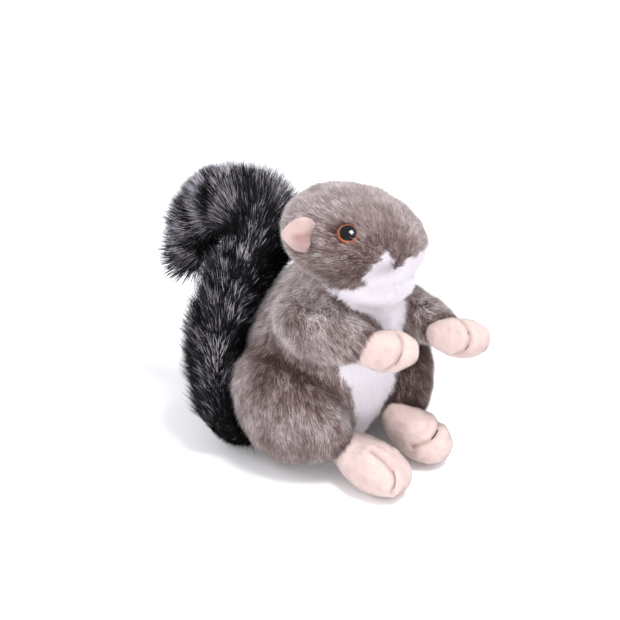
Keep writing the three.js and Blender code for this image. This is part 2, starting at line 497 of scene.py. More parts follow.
def make_paw(node):
    """A velour hand or foot, drawn in along the seam that parts its toes."""
    paw = copy_of(node + "_velour", node)
    filled(paw, voxel=1.6, most=0.6)
    shaded_crease = run_on(surface_of(paw), TOE_CREASES[node], beyond=True)
    at, out = places(paw), normals(paw)
    away = np.array([norm(shaded_crease - place).min() for place in at]) / mm(1)
    crease = CREASE_DEPTH * hump(away, 0, CREASE_REACH) - SWELL_HEIGHT * hump(away, SWELL_AWAY, SWELL_REACH)
    at = at - out * mm(1) * crease[:, None]
    lumps = sum(mm(height) * ripple(at, size, seed) for height, size, seed in PAW_LUMPS)
    at = at + out * lumps[:, None]
    at[:, 2] = np.maximum(at[:, 2], 0)
    # Paints shade along the crease.
    note(paw, "shaded_crease", CREASE_SHADE * hump(away, 0, CREASE_TONE_REACH))
    return move_to(paw, at)


def make_thread(name, run, thick):
    """Sewing thread laid along a run of places: a closed tube."""
    curve = bpy.data.curves.new(name, "CURVE")
    curve.dimensions = "3D"
    curve.bevel_depth = mm(thick)
    curve.bevel_resolution = 2
    curve.use_fill_caps = True
    line = curve.splines.new("POLY")
    line.points.add(len(run) - 1)
    for point, place in zip(line.points, run):
        point.co = (*place, 1)
    only(placed(name, curve))
    bpy.ops.object.convert(target="MESH")
    thread = bpy.context.object
    thread.data.shade_smooth()
    return thread


# The nose is a small three-legged stitch, by pixels of the view.
NOSE_STITCH = [[(393, 264.5), (395.2, 266.3), (397, 264)], [(395.2, 266.3), (395, 269)]]
NOSE_LIFT = 0.5  # its middle over the node's surface, where the pile's tips are
NOSE_ROOT = -3.0  # and the ends of its legs, in the cover
NOSE_THREAD = 0.26


def make_nose():
    threads = []
    for k, marks in enumerate(NOSE_STITCH):
        found = [seen(ON_BODY["head"], *mark) for mark in marks]
        run = [place + facing * mm(NOSE_LIFT) for place, facing in found]
        ends = [place + facing * mm(NOSE_ROOT) for place, facing in (found[0], found[-1])]
        threads.append(make_thread(f"nose_{k}", [ends[0], *run, ends[1]], NOSE_THREAD))
    only(*threads)
    bpy.ops.object.join()
    nose = threads[0]
    nose.name = nose.data.name = "nose_stitch"
    return nose


def without(piece, *others):
    """Cuts what the other pieces fill out of a piece."""
    for other in others:
        modified(piece, "BOOLEAN", operation="DIFFERENCE", object=other, solver="MANIFOLD")
    return piece


EAR_ROOT = 3  # how far up its root is drawn in to the cover
EAR_FLARE = (1.2, -4.5, -0.6)  # how far its low front edge is drawn out, first to its own side
EAR_HOLLOW = 0.9
# How dark the ear's velour is painted: darker all over, with painted shade in its fold and on its low front
# edge.
EAR_TONE, FOLD_SHADE, EDGE_SHADE = 0.38, 0.6, 0.5


def make_ear(node):
    """A thin folded flap. Its root reaches through the pile to the cover, and its hollow is on the front."""
    ear = copy_of(node + "_velour", node)
    remeshed(ear, voxel=0.8)
    modified(ear, "SMOOTH", factor=0.5, iterations=6)
    at, out = places(ear), normals(ear)
    middle = (at.min(0) + at.max(0)) / 2
    for k, place in enumerate(at.tolist()):
        _, facing, _, gap = ON_BODY["head"].find_nearest(place)
        at[k] -= np.array(facing) * mm(BODY_DEPTH) * float(smooth(1 - gap / mm(EAR_ROOT)))
    low = falling(at[:, 2], middle[2] + mm(3), mm(9))
    fore = falling(at[:, 1], middle[1] + mm(2), mm(5))
    at += (low * fore)[:, None] * mm(np.array(EAR_FLARE) * (np.sign(middle[0]), 1, 1))
    fold = hump(at[:, 2] - middle[2], -mm(1), mm(2.4)) * (out[:, 1] < 0.2) * fore
    # Painted shade in the fold and on the low front edge, over a darker ear.
    note(ear, "shaded_crease", np.clip(EAR_TONE + FOLD_SHADE * fold + EDGE_SHADE * low * fore, 0, 1))
    move_to(ear, at - out * mm(EAR_HOLLOW) * fold[:, None])
    modified(ear, "SUBSURF", levels=1, render_levels=1)
    ear.data.shade_smooth()
    return ear


def make_eye(node):
    """A polished dome with a brown ring round a black middle. It looks further round than its node."""
    at = places(cad[node])
    middle = (at.min(0) + at.max(0)) / 2
    _, _, axes = np.linalg.svd(at - at.mean(0), full_matrices=False)
    out = axes[2] * np.sign(axes[2] @ (middle - np.array(mm(*HEAD_MIDDLE))))
    bpy.ops.mesh.primitive_uv_sphere_add(segments=48, ring_count=32, radius=mm(EYE_RADIUS))
    eye = bpy.context.object
    eye.name = eye.data.name = node + "_dome"
    at = places(eye)
    at[:, 2] *= np.where(at[:, 2] > 0, EYE_BULGE, EYE_BACK) / EYE_RADIUS
    aside = EYE_SWING * np.array((np.sign(out[0]), 1, 0))
    turn = np.array(Vector((0, 0, 1)).rotation_difference(Vector(out + aside)).to_matrix())
    note(eye, "reach", np.hypot(at[:, 0], at[:, 1]) / mm(EYE_RADIUS))
    middle = middle + out * mm(EYE_LIFT[node])
    eye_seats[node] = middle, out
    move_to(eye, at @ turn.T + middle)
    eye.data.shade_smooth()
    return eye


def off_axis(at, node):
    """How far places are from an eye's axis, and how far along it from the eye's middle."""
    middle, out = eye_seats[node]
    along = (at - middle) @ out
    return np.linalg.norm(at - middle - along[:, None] * out, axis=1), along


SEAT_MARGIN, SEAT_DEPTH = 0.4, 0.9  # the cover's dip under an eye: beyond its edge, and below its middle


def seated(piece):
    """Sinks a cover under the eyes, so that only their domes show."""
    at = places(piece)
    for node, (_, out) in eye_seats.items():
        aside, along = off_axis(at, node)
        under = (aside < mm(EYE_RADIUS + SEAT_MARGIN)) & (abs(along) < mm(EYE_REACH))
        at -= out * (under * np.maximum(along + mm(SEAT_DEPTH), 0))[:, None]
    return move_to(piece, at)


def note(piece, name, values):
    """Writes a number at each of a mesh's points, for its material to read."""
    kept = piece.data.attributes.get(name) or piece.data.attributes.new(name, "FLOAT", "POINT")
    kept.data.foreach_set("value", np.asarray(values, np.float32))


# Markings. The white of the face, as seen from the front: an outline of x and z. A grey wedge runs down
# between the eyes into its upper edge.
FACE_WHITE = [
    (-12, 151.5), (-16.5, 149), (-21, 145.5), (-24.5, 141), (-26, 134), (-22, 128.5), (-26, 124.5),
    (-31, 123.5), (-31, 121), (-23, 114), (-16, 109), (20, 106), (34, 112), (42, 122), (42, 132),
    (32, 138), (18, 140.5), (8, 140), (0, 140.5), (-5, 138), (-9, 138), (-10, 144),
]
# And the white of the chest and the belly.
CHEST_WHITE = [
    (-31, 121), (-24, 112), (-16.5, 106.5), (-9, 101), (-2, 94.5), (3, 88), (8, 80), (24, 82), (31, 100),
    (26, 118), (0, 124),
]
BELLY_WHITE = [
    (-27, 82), (-26, 68), (-20, 52), (-13, 38), (-9, 26), (-8, 12), (8, 10), (14, 24), (21, 42),
    (24, 60), (24, 84),
]
WHITE_BEHIND = -21  # no place behind this y is white
EDGE_WANDER = [(0.9, 9, 5), (0.6, 3.5, 6)]  # how the edge wanders: by how much, size and seed
EDGE_BLEND = 1.6  # how wide the edge is


def inside(x, z, outline):
    """How far each place lies inside a closed outline, and less than 0 outside it."""
    near = np.full(len(x), 1e9)
    within = np.zeros(len(x), bool)
    for (x0, z0), (x1, z1) in zip(outline, outline[1:] + outline[:1]):
        dx, dz = x1 - x0, z1 - z0
        share = np.clip(((x - x0) * dx + (z - z0) * dz) / (dx * dx + dz * dz), 0, 1)
        near = np.minimum(near, np.hypot(x - x0 - share * dx, z - z0 - share * dz))
        within ^= ((z0 > z) != (z1 > z)) & (x < x0 + (z - z0) * dx / (dz or 1))
    return np.where(within, near, -near)


def whiteness(at):
    """1 where the plush is white, on the muzzle, chin, bib and belly, and 0 where it is grey."""
    x, y, z = (at / mm(1)).T
    wander = sum(most * ripple(at, size, seed) for most, size, seed in EDGE_WANDER)
    share = np.maximum.reduce([inside(x, z, outline) for outline in (FACE_WHITE, CHEST_WHITE, BELLY_WHITE)])
    return smooth((np.minimum(share, WHITE_BEHIND - y) + wander) / EDGE_BLEND + 0.5)


# The lie of the pile: the way that it is brushed, at each place.


DOWN = (0, -0.25, -1)
DOWN_AND_FORE = (0, -0.55, -1)
ALONG_ARM = (0, -1, -0.75)


def brushed(node, at):
    """On the body: back from the nose over the head, down the shoulders and along the arms, and down."""
    if node == "head":
        way = unit(at - np.array(mm(*NOSE)))
        way[:, 2] -= 0.45 * falling(at[:, 2], mm(150), mm(30))
        return way
    if node.startswith("arm"):
        fore = falling(at[:, 1], mm(6), mm(34))[:, None]
        return (1 - fore) * np.array(DOWN) + fore * np.array(ALONG_ARM)
    return np.tile(DOWN_AND_FORE if node.startswith("haunch") else DOWN, (len(at), 1))


COURSE_STEPS = 240


def tail_course():
    """Points close together along the tail's middle, and the way it runs at each."""
    knots = mm(np.array(TAIL_SPINE, float))
    run = np.linspace(0, len(knots) - 1, COURSE_STEPS)
    k = np.clip(run.astype(int), 0, len(knots) - 2)
    share = (run - k)[:, None]
    before, after = knots[np.maximum(k - 1, 0)], knots[np.minimum(k + 2, len(knots) - 1)]
    start, end = knots[k], knots[k + 1]
    course = 0.5 * (
        2 * start
        + (end - before) * share
        + (2 * before - 5 * start + 4 * end - after) * share**2
        + (3 * start - before - 3 * end + after) * share**3
    )
    return course, unit(np.gradient(course, axis=0))


COURSE, COURSE_WAYS = tail_course()


def nearest_on_course(at):
    """Which of the tail's middle points lies nearest each place."""
    return np.array([np.argmin(((COURSE - p) ** 2).sum(1)) for p in at])


FLOOR_WAY = (-0.1, -1, 0.05)  # how the pile is brushed where it lies on the floor
FAN_CALM = 28  # this close to the fan's middle its strands stop spreading


def brushed_tail(at, nearest):
    """Along the tail, forwards where it lies on the floor, and spreading like a fan over its upper part."""
    share = nearest / COURSE_STEPS
    fan = (rising(share, 0.4, 0.2) * (1 - 0.45 * rising(share, 0.88, 0.1)))[:, None]
    spread = at - np.array(mm(*TAIL_FAN))
    spread = unit(spread) * smooth(norm(spread[:, 1:]) / mm(FAN_CALM))
    way = COURSE_WAYS[nearest] * (1 - 0.65 * fan) + spread * 0.85 * fan
    on_floor = (falling(at[:, 2], mm(24), mm(14)) * falling(at[:, 1], mm(50), mm(10)))[:, None]
    return way * (1 - 0.7 * on_floor) + np.array(FLOOR_WAY) * on_floor


def drawn_round(at, middle, reach, stretch):
    """Places drawn together along the lines out from a middle, so that patches on them come out long."""
    line = at - np.array(mm(*middle))
    return unit(line) * (mm(reach) + norm(line) / stretch)


def streaked(at, share):
    """Places on the tail drawn together along its strands."""
    upper = rising(share, 0.36, 0.14)[:, None]
    return drawn_round(at, TAIL_FAN, reach=42, stretch=3) * upper + at * (1, 1, 0.35) * (1 - upper)


# The coat.


def ground(cover, chosen):
    """The part of a cover that a coat grows on: its triangles' points, normals and places on an unwrap."""
    twin = twin_of(cover)
    only(twin)
    set_mode("EDIT")
    bpy.ops.mesh.select_mode(type="FACE")
    bpy.ops.mesh.select_all(action="DESELECT")
    set_mode("OBJECT")
    twin.data.polygons.foreach_set("select", ~chosen)
    set_mode("EDIT")
    bpy.ops.mesh.delete(type="FACE")
    bpy.ops.mesh.select_all(action="SELECT")
    bpy.ops.uv.smart_project(angle_limit=math.radians(66), island_margin=0.01)
    set_mode("OBJECT")
    mesh = twin.data
    mesh.calc_loop_triangles()
    corners = read(mesh.loop_triangles, "vertices", 3, np.int32)
    loops = read(mesh.loop_triangles, "loops", 3, np.int32)
    flat = read(mesh.uv_layers.active.uv, "vector", 2)
    found = places(twin)[corners], normals(twin)[corners], flat[loops]
    bpy.data.objects.remove(twin)
    return found


# How close tufts stand: everywhere, and what is added where they stand closer.
PLAIN_SHARE, CLOSER_SHARE = 0.7, 1.1


def scatter(floor, rng, count=None, per_mm2=None, closer=None):
    """Roots spread over a ground: so many, or so many per_mm2, and closer where closer gives more."""
    points, outs, flats = floor
    weight = norm(np.cross(points[:, 1] - points[:, 0], points[:, 2] - points[:, 0]))[:, 0] / 2
    count = count or int(weight.sum() / mm(1) ** 2 * per_mm2)
    if closer:
        weight = weight * (PLAIN_SHARE + CLOSER_SHARE * closer(points.mean(1)))
    total = np.cumsum(weight) / weight.sum()
    chosen = np.searchsorted(total, (np.arange(count) + rng.random(count)) / count)
    chosen = np.minimum(chosen, len(weight) - 1)
    a, b = rng.random((2, count))
    over = a + b > 1
    a[over], b[over] = 1 - a[over], 1 - b[over]
    shares = np.stack([1 - a - b, a, b], 1)[:, :, None]
    return tuple((values[chosen] * shares).sum(1) for values in (points, outs, flats))


def nearest_of(spots, at):
    """Which of these spots lies nearest each place."""
    tree = KDTree(len(spots))
    for k, place in enumerate(spots.tolist()):
        tree.insert(place, k)
    tree.balance()
    return np.array([tree.find(place)[1] for place in at.tolist()])


def gathered(spots, rng, each):
    """Shares places out among locks of so many. For each: its lock, and the place at its lock's middle."""
    chosen = rng.permutation(len(spots))[: max(1, len(spots) // each)]
    belongs = nearest_of(spots[chosen], spots)
    return belongs, chosen[belongs]


def drawn_out(roots, way, node):
    """Roots on the body drawn together along the lie of the pile, so that locks come out long."""
    if node == "head":
        return drawn_round(roots, NOSE, reach=50, stretch=3.5)
    run = unit(way.mean(0))
    return roots - run * (roots @ run)[:, None] * 0.7


# A tuft's shape: how deep its root sits, how late it draws to its lock, how it narrows, and how high its
# back is for its width. None goes lower than just over the floor.
ROOT_DEPTH, LOCK_LATE, NARROWING, BACK_HEIGHT = 0.3, 1.5, 0.6, 0.4
FLOOR_GAP = 0.2
# How its normals lean off the cover's: along it, to its sides, up its back, and along it at its tip.
LIT_ALONG, LIT_ASIDE, LIT_UP, LIT_TIP = 0.35, 0.5, 0.3, 0.2


def tufts(name, roots, outs, flats, brush, rings=1, bend=0):
    """A mesh of tapered three-sided tufts, bent over by so many degrees, as brush says for each one.

    A tuft takes its light mostly as the cover under it does, which keeps the pile soft.
    """
    count = len(roots)
    out = unit(outs)
    facing = unit(brush.get("facing", outs))
    way = unit(level(brush["way"], out))
    side = np.cross(way, out)
    spin = np.radians(brush["stray"])[:, None]
    way, side = way * np.cos(spin) + side * np.sin(spin), side * np.cos(spin) - way * np.sin(spin)
    length, width = brush["length"][:, None], brush["width"][:, None]
    place = roots - out * mm(ROOT_DEPTH)
    lines, ups = [place], []
    for k in range(rings):
        angle = np.radians(brush["lift"] + bend * (0.5 - (k + 0.5) / rings))[:, None]
        place = place + (way * np.cos(angle) + out * np.sin(angle)) * length / rings
        lines.append(place)
        ups.append(out * np.cos(angle) - way * np.sin(angle))
    per = 3 * rings + 1
    at, lit = np.empty((2, count, per, 3))
    along = np.empty(per)
    for k in range(rings):
        share = k / rings
        drawn = lines[k] + brush["lock"] * share**LOCK_LATE
        wide = width * (1 - share) ** NARROWING
        at[:, 3 * k] = drawn - side * wide / 2
        at[:, 3 * k + 1] = drawn + side * wide / 2
        at[:, 3 * k + 2] = drawn + ups[k] * wide * BACK_HEIGHT
        lit[:, 3 * k] = facing + way * LIT_ALONG - side * LIT_ASIDE
        lit[:, 3 * k + 1] = facing + way * LIT_ALONG + side * LIT_ASIDE
        lit[:, 3 * k + 2] = facing + ups[k] * LIT_UP
        along[3 * k : 3 * k + 3] = share
    at[:, -1] = lines[rings] + brush["lock"]
    lit[:, -1] = facing + way * LIT_TIP
    along[-1] = 1
    at[:, :, 2] = np.maximum(at[:, :, 2], mm(FLOOR_GAP))
    faces = [(0, 1, 2)]
    for k in range(rings - 1):
        for j in range(3):
            low, high = 3 * k + j, 3 * k + (j + 1) % 3
            faces += [(low, low + 3, high), (high, low + 3, high + 3)]
    last = 3 * (rings - 1)
    faces += [(last + j, per - 1, last + (j + 1) % 3) for j in range(3)]
    faces = np.array(faces)
    corners = (faces[None] + per * np.arange(count)[:, None, None]).reshape(-1)
    mesh = bpy.data.meshes.new(name)
    mesh.vertices.add(count * per)
    mesh.vertices.foreach_set("co", at.astype(np.float32).ravel())
    mesh.loops.add(len(corners))
    mesh.loops.foreach_set("vertex_index", corners.astype(np.int32))
    mesh.polygons.add(len(corners) // 3)
    mesh.polygons.foreach_set("loop_start", np.arange(0, len(corners), 3, dtype=np.int32))
    mesh.polygons.foreach_set("use_smooth", np.ones(len(corners) // 3, bool))
    mesh.update()
    mesh.normals_split_custom_set_from_vertices(unit(lit).reshape(-1, 3).astype(np.float32))
    spread = np.stack([np.where(np.arange(per) % 3 == 0, -0.5, 0.5), along - 0.5], 1) * PATCH
    spots = flats[:, None, :] + spread[None]
    layer = mesh.uv_layers.new(name="OFBake")
    layer.uv.foreach_set("vector", spots.reshape(-1, 2)[corners].astype(np.float32).ravel())
    coat = placed(name, mesh)
    note(coat, "along", np.tile(along, count))
    for key in ("tone", "white", "shaded_crease"):
        if key in brush:
            note(coat, key, np.repeat(brush[key], per))
    return coat


# The body's pile: tufts to a lock, and how far a tuft draws to its lock's middle.
BODY_LOCK, BODY_DRAW = 14, 0.45
# Stray hairs: how many, and how much longer and thinner they are.
STRAY_SHARE, STRAY_LENGTH, STRAY_WIDTH = 0.2, 1.35, 0.8
# How far it stands up, in degrees: mostly, underneath, less in stray hairs, and how that varies.
LIFT, UNDER_LIFT, STRAY_DROP, LIFT_WAVE, LIFT_SPREAD = 42, 8, 10, 6, 7
STRAY_WAVE, STRAY_SPREAD = 16, 12  # how it strays to the side, in degrees
# Its tone, and how that varies: over the body, by lock, by hair and in stray hairs.
TONE, TONE_WAVE, LOCK_TONE, HAIR_TONE, STRAY_TONE = 0.5, 0.1, 0.2, 0.17, 0.36
# How much lighter the grey is painted on the shoulders' shelf under the head: painted light against its
# shade.
SHELF_LIGHT = 0.16
UNDER_HEAD = 24  # how far off the head the pile under it ends
FRONT = (-0.6, -0.75, 0.1)  # the way that this pile takes its light from


def body_brush(node, way, length, width, roots, outs, rng):
    """How the body's pile lies: short and soft, leaning the way it is brushed, with locks and stray hairs."""
    count = len(roots)
    belongs, middle = gathered(drawn_out(roots, way, node), rng, BODY_LOCK)
    lock_tone = rng.normal(0, 1, count)[belongs]
    under = falling(outs[:, 2], -0.6, 0.3)
    lean = unit(level(way, outs))
    aside = level(roots[middle] - roots, lean)
    stray = rng.random(count) < STRAY_SHARE
    tips = roots + (lean * 0.6 + outs * 0.7) * length[:, None]
    white = whiteness(tips) if node in WHITE_NODES else np.zeros(count)
    calm = (1 - 0.4 * rising(roots[:, 2], mm(152), mm(12))) * (1 - 0.6 * white)
    # The grey's tone: painted shade and the face's marks, and random changes over the body, by lock and by
    # hair.
    tone = TONE - painted_shade_and_marks(roots, node) * (1 - white) + TONE_WAVE * ripple(roots, 20, 23)
    hair_tone = np.where(stray, STRAY_TONE, HAIR_TONE) * rng.normal(0, 1, count)
    tone += (LOCK_TONE * lock_tone + hair_tone) * calm
    facing = outs
    if node != "head":
        close = close_to(roots, ON_BODY["head"], UNDER_HEAD)
        close *= rising(roots[:, 2], mm(80), mm(14)) * falling(roots[:, 1], mm(14), mm(14))
        # Painted light: the shelf that faces up under the head is painted lighter, against the head's shade.
        shelf = rising(outs[:, 2], 0.5, 0.4) * rising(roots[:, 2], mm(98), mm(8))
        tone += SHELF_LIGHT * shelf * (1 - white)
        turned = 0.9 * np.maximum(close, shelf)[:, None]
        facing = outs * (1 - 0.6 * turned) + np.array(FRONT) * turned
    brush = dict(way=way, lock=aside * BODY_DRAW, tone=tone, white=white, facing=facing)
    brush["stray"] = STRAY_WAVE * ripple(roots, 16, 21) + rng.normal(0, STRAY_SPREAD, count)
    length = length * rng.uniform(0.8, 1.15, count) * (1 - 0.3 * under)
    brush["length"] = length * np.where(stray, STRAY_LENGTH, 1)
    lift = LIFT - STRAY_DROP * stray + LIFT_WAVE * ripple(roots, 9, 22) + rng.normal(0, LIFT_SPREAD, count)
    brush["lift"] = np.where(under > 0.5, UNDER_LIFT, lift)
    brush["width"] = width * rng.uniform(0.75, 1.25, count) * np.where(stray, STRAY_WIDTH, 1)
    return brush


# How far the pile stands up round an eye, and how much less before an eye and by an ear, in degrees.
EYE_LASH, FORE_DROP, EAR_DROP = 58, 20, 26


def parted(brush, roots):
    """Stands the head's pile up round the eyes, to lap their rims, and lays it flat before the ears."""
    for node in EYE_NODES:
        aside, along = off_axis(roots, node)
        near = falling(aside, mm(EYE_RADIUS + 3.5), mm(3.5)) * (abs(along) < mm(EYE_REACH))
        fore = falling(roots[:, 1], eye_seats[node][0][1], mm(4))
        brush["lift"] += near * (EYE_LASH - FORE_DROP * fore - brush["lift"])
        brush["length"] *= 1 + (0.4 * fore - 0.2) * near
    for ear in ears.values():
        near = close_to(roots, surface_of(ear), 6)
        brush["lift"] -= near * EAR_DROP
        brush["length"] *= 1 - 0.35 * near


def painted_shade_and_marks(at, node):
    """How much darker the grey is painted: painted shade in creases and on the haunches, and on the face
    partly the fur's own marks and partly painted shade. Painted lighter on the shoulders under the head.
    """
    x, y, z = (at / mm(1)).T
    dark = np.zeros(len(at))
    # On the haunches: painted shade of the arm on their tops, where dark roots partly show too; darker low
    # down, lighter at the back.
    if node.startswith("haunch"):
        top = rising(z, 42, 24) * falling(y, 16, 16) * rising(y, -44, 12)
        foot, back = falling(z, 40, 14), rising(y, 16, 12)
        dark += 0.1 + 0.4 * top + 0.28 * foot - 0.16 * back
    # The far haunch's front and inner side: darker, partly painted shade.
    if node == "haunch_left":
        dark += 0.6 * falling(y, 4, 16) * falling(x, 58, 16)
    # On the face: darker cheeks, eye rings, snout and neck, stronger on the right side; partly the fur's own
    # marks, partly painted shade.
    if node == "head":
        near = 1 - 0.6 * rising(x, 4, 10)
        cheek = falling(z, 141, 8) * rising(y, -54, 8)
        round_eye = falling(np.hypot(y + 36, z - 146), 28, 20)
        snout = falling(y, -40, 8)
        neck = rising(y, -22, 10) * falling(z, 160, 10)
        dark += near * (0.34 * cheek + 0.32 * round_eye + 0.26 * snout + 0.1 * neck)
    # Painted shade in the creases where other parts lie close, but not on the shoulders.
    others = [other for other in BODY_NODES + PAW_NODES if other != node]
    gap = np.min([distances(at, ON_BODY[other], mm(9)) for other in others], axis=0)
    shoulder = rising(z, 84, 14) * rising(y, -34, 12)
    dark += 0.36 * falling(gap, mm(8.5), mm(5)) * (1 - shoulder)
    # Painted light: the pile under the head is lighter on the shoulders, against the shade that the head
    # casts there.
    if node in ("trunk", "arm_right", "arm_left"):
        dark -= 0.24 * shoulder * close_to(at, ON_BODY["head"], UNDER_HEAD)
    return dark


def face_share(at):
    """1 at the tip of the face and 0 from behind the eyes back."""
    return falling(at[:, 1], -mm(22), mm(26))


NAP_PER_MM2 = 1.6
NAP_LENGTH, NAP_WIDTH = 1.3, 0.42
NAP_LIFT, NAP_LIFT_SPREAD, NAP_STRAY = 50, 12, 40
NAP_WAY = (0, -1, -0.3)


def make_nap(node, piece, rng):
    """The velour's own nap: short fine tufts that stand nearly straight up."""
    floor = ground(piece, np.ones(len(piece.data.polygons), bool))
    spots = scatter(floor, rng, per_mm2=NAP_PER_MM2)
    count = len(spots[0])
    # The nap carries the painted shade of its piece's creases and folds.
    kept = read(piece.data.attributes["shaded_crease"].data, "value", 1)[:, 0]
    brush = dict(
        way=np.tile(NAP_WAY, (count, 1)),
        stray=rng.normal(0, NAP_STRAY, count),
        length=mm(NAP_LENGTH) * rng.uniform(0.7, 1.2, count),
        lift=rng.normal(NAP_LIFT, NAP_LIFT_SPREAD, count),
        width=mm(NAP_WIDTH) * rng.uniform(0.7, 1.3, count),
        lock=np.zeros((count, 3)),
        shaded_crease=kept[nearest_of(places(piece), spots[0])],
    )
    return tufts(f"coat_{node}", *spots, brush)


def region(cover, nodes, others=()):
    """Which of a cover's faces lie nearest these CAD nodes, and clear of the pieces that grow no pile."""
    middles = read(cover.data.polygons, "center", 3).astype(float)
    gaps = np.stack([distances(middles, surface) for surface in nodes], 1)
    clear = np.ones(len(middles), bool)
    for other in others:
        clear &= distances(middles, surface_of(other), mm(1)) > mm(0.6)
    return gaps.argmin(1), clear


def started(name, finish):
    """A new material whose shader has these constants, with its node tree and its shader."""
    material = bpy.data.materials.new(name)
    material.use_nodes = True
    shader = material.node_tree.nodes["Principled BSDF"]
    for socket, value in finish.items():
        shader.inputs[socket].default_value = value
    return material, material.node_tree, shader


def noted(tree, name):
    """The socket that gives what note() wrote on a mesh."""
    return add_node(tree, "ShaderNodeAttribute", attribute_name=name).outputs["Fac"]


def plush(name):
    """Brushed modacrylic pile: dull fibres, dark at the root and pale at the tip, with a faint sheen."""
    finish = {"Roughness": 0.7, "Specular IOR Level": 0.25, "Sheen Weight": 0.25, "Sheen Roughness": 0.5}
    material, tree, shader = started(name, finish)
    shares = {"Factor": 0.45, "A": noted(tree, "along"), "B": noted(tree, "tone")}
    lit = add_node(tree, "ShaderNodeMix", shares).outputs["Result"]
    grey, pale = ramp(tree, lit, GREY_PILE), ramp(tree, lit, WHITE_PILE)
    colours = {"Factor": noted(tree, "white"), 6: grey, 7: pale}
    both = add_node(tree, "ShaderNodeMix", colours, data_type="RGBA")
    tree.links.new(both.outputs[2], shader.inputs["Base Color"])
    return material


def ramp(tree, factor, stops):
    """Colours blended along a factor, from stops of place and hex colour."""
    node = add_node(tree, "ShaderNodeValToRGB", {"Fac": factor})
    elements = node.color_ramp.elements
    while len(elements) > 1:
        elements.remove(elements[-1])
    elements[0].position, elements[0].color = stops[0][0], linear(stops[0][1])
    for place, colour in stops[1:]:
        elements.new(place).color = linear(colour)
    return node.outputs["Color"]


def tail_plush(name):
    """Long modacrylic pile, black with grey tips: smoother fibres than the body's, with no sheen."""
    material, tree, shader = started(name, {"Roughness": 0.7, "Specular IOR Level": 0.12})
    shares = {"Factor": 0.5, "A": noted(tree, "along"), "B": noted(tree, "tone")}
    lit = add_node(tree, "ShaderNodeMix", shares).outputs["Result"]
    tree.links.new(ramp(tree, lit, TAIL_PILE), shader.inputs["Base Color"])
    return material


def velour(name):
    """Cut polyester velour: a dense short nap, matt, with a pale bloom at grazing angles."""
    finish = {"Roughness": 0.9, "Specular IOR Level": 0.15, "Sheen Weight": 0.35, "Sheen Roughness": 0.5}
    material, tree, shader = started(name, finish)
    at = add_node(tree, "ShaderNodeTexCoord").outputs["Object"]
    nap = add_node(tree, "ShaderNodeTexNoise", {"Vector": at, "Scale": 1 / mm(0.7), "Detail": 3})
    cloud = add_node(tree, "ShaderNodeTexNoise", {"Vector": at, "Scale": 1 / mm(14), "Detail": 2})
    shares = {"Factor": 0.4, "A": cloud.outputs["Fac"], "B": nap.outputs["Fac"]}
    both = add_node(tree, "ShaderNodeMix", shares)
    flat = ramp(tree, both.outputs["Result"], VELOUR_NAP)
    # Mixes in the painted shade of the creases and folds.
    colours = {"Factor": noted(tree, "shaded_crease"), 6: flat, 7: linear(VELOUR_SHADE)}
    shade = add_node(tree, "ShaderNodeMix", colours, data_type="RGBA")
    tree.links.new(shade.outputs[2], shader.inputs["Base Color"])
    height = {"Height": nap.outputs["Fac"], "Strength": 0.35, "Distance": mm(0.3)}
    bump = add_node(tree, "ShaderNodeBump", height)
    tree.links.new(bump.outputs["Normal"], shader.inputs["Normal"])
    return material


def eye_acrylic(name):
    """Moulded acrylic, polished: a black middle and an orange-brown ring, under one hard gloss."""
    material, tree, shader = started(name, {"Roughness": 0.04, "Specular IOR Level": 0.32})
    tree.links.new(ramp(tree, noted(tree, "reach"), EYE_RINGS), shader.inputs["Base Color"])
    return material


def dressed(piece, material, slot, *nodes):
    """Gives a finished piece its material and its body, and hides the CAD nodes that it stands for; slot is
    not used.
    """
    piece.data.materials.clear()
    piece.data.materials.append(material)
    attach(piece, "root")
    if nodes:
        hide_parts(*nodes)
    return piece


BODY_COATS = {
    # node: length, width, tufts for each square millimetre
    "head": (5.2, 0.5, 4.6),
    "trunk": (5.8, 0.58, 3.0),
    "arm_right": (5.6, 0.52, 4.4),
    "arm_left": (5.6, 0.52, 4.0),
    "haunch_right": (5.8, 0.54, 4.2),
    "haunch_left": (5.8, 0.58, 3.2),
}
FACE_SHORTER, FACE_FINER = 0.25, 0.15  # how much of its length and width the pile loses on the face
MOST_TUFTS = 49000  # in one piece of a coat
BODY_SEED, TAIL_SEED, NAP_SEED = 100, 200, 300

TAIL_TUFTS = 17500  # on each of its lengths
TAIL_LENGTH, TAIL_WIDTH, TAIL_LIFT, FLAT_LIFT, TAIL_BEND = 14, 0.6, 38, 10, 6
TAIL_LOCK, TAIL_DRAW = 16, 0.12
TAIL_TONE, STREAK_TONE, TAIL_LOCK_TONE, TAIL_HAIR_TONE = 0.35, 0.22, 0.17, 0.17

COVER_ALONG, COVER_TONE, COVER_WAVE = 0.1, 0.45, 0.1  # the shade of the covers under the coats


def grow(node, spots, brush, order, parts, finish, **shape):
    """Grows a coat in several parts, by its places' order."""
    for part, chosen in enumerate(np.array_split(np.argsort(order), parts)):
        picked = {key: values[chosen] for key, values in brush.items()}
        coat = tufts(f"coat_{node}_{part + 1}", *(values[chosen] for values in spots), picked, **shape)
        dressed(coat, *finish)


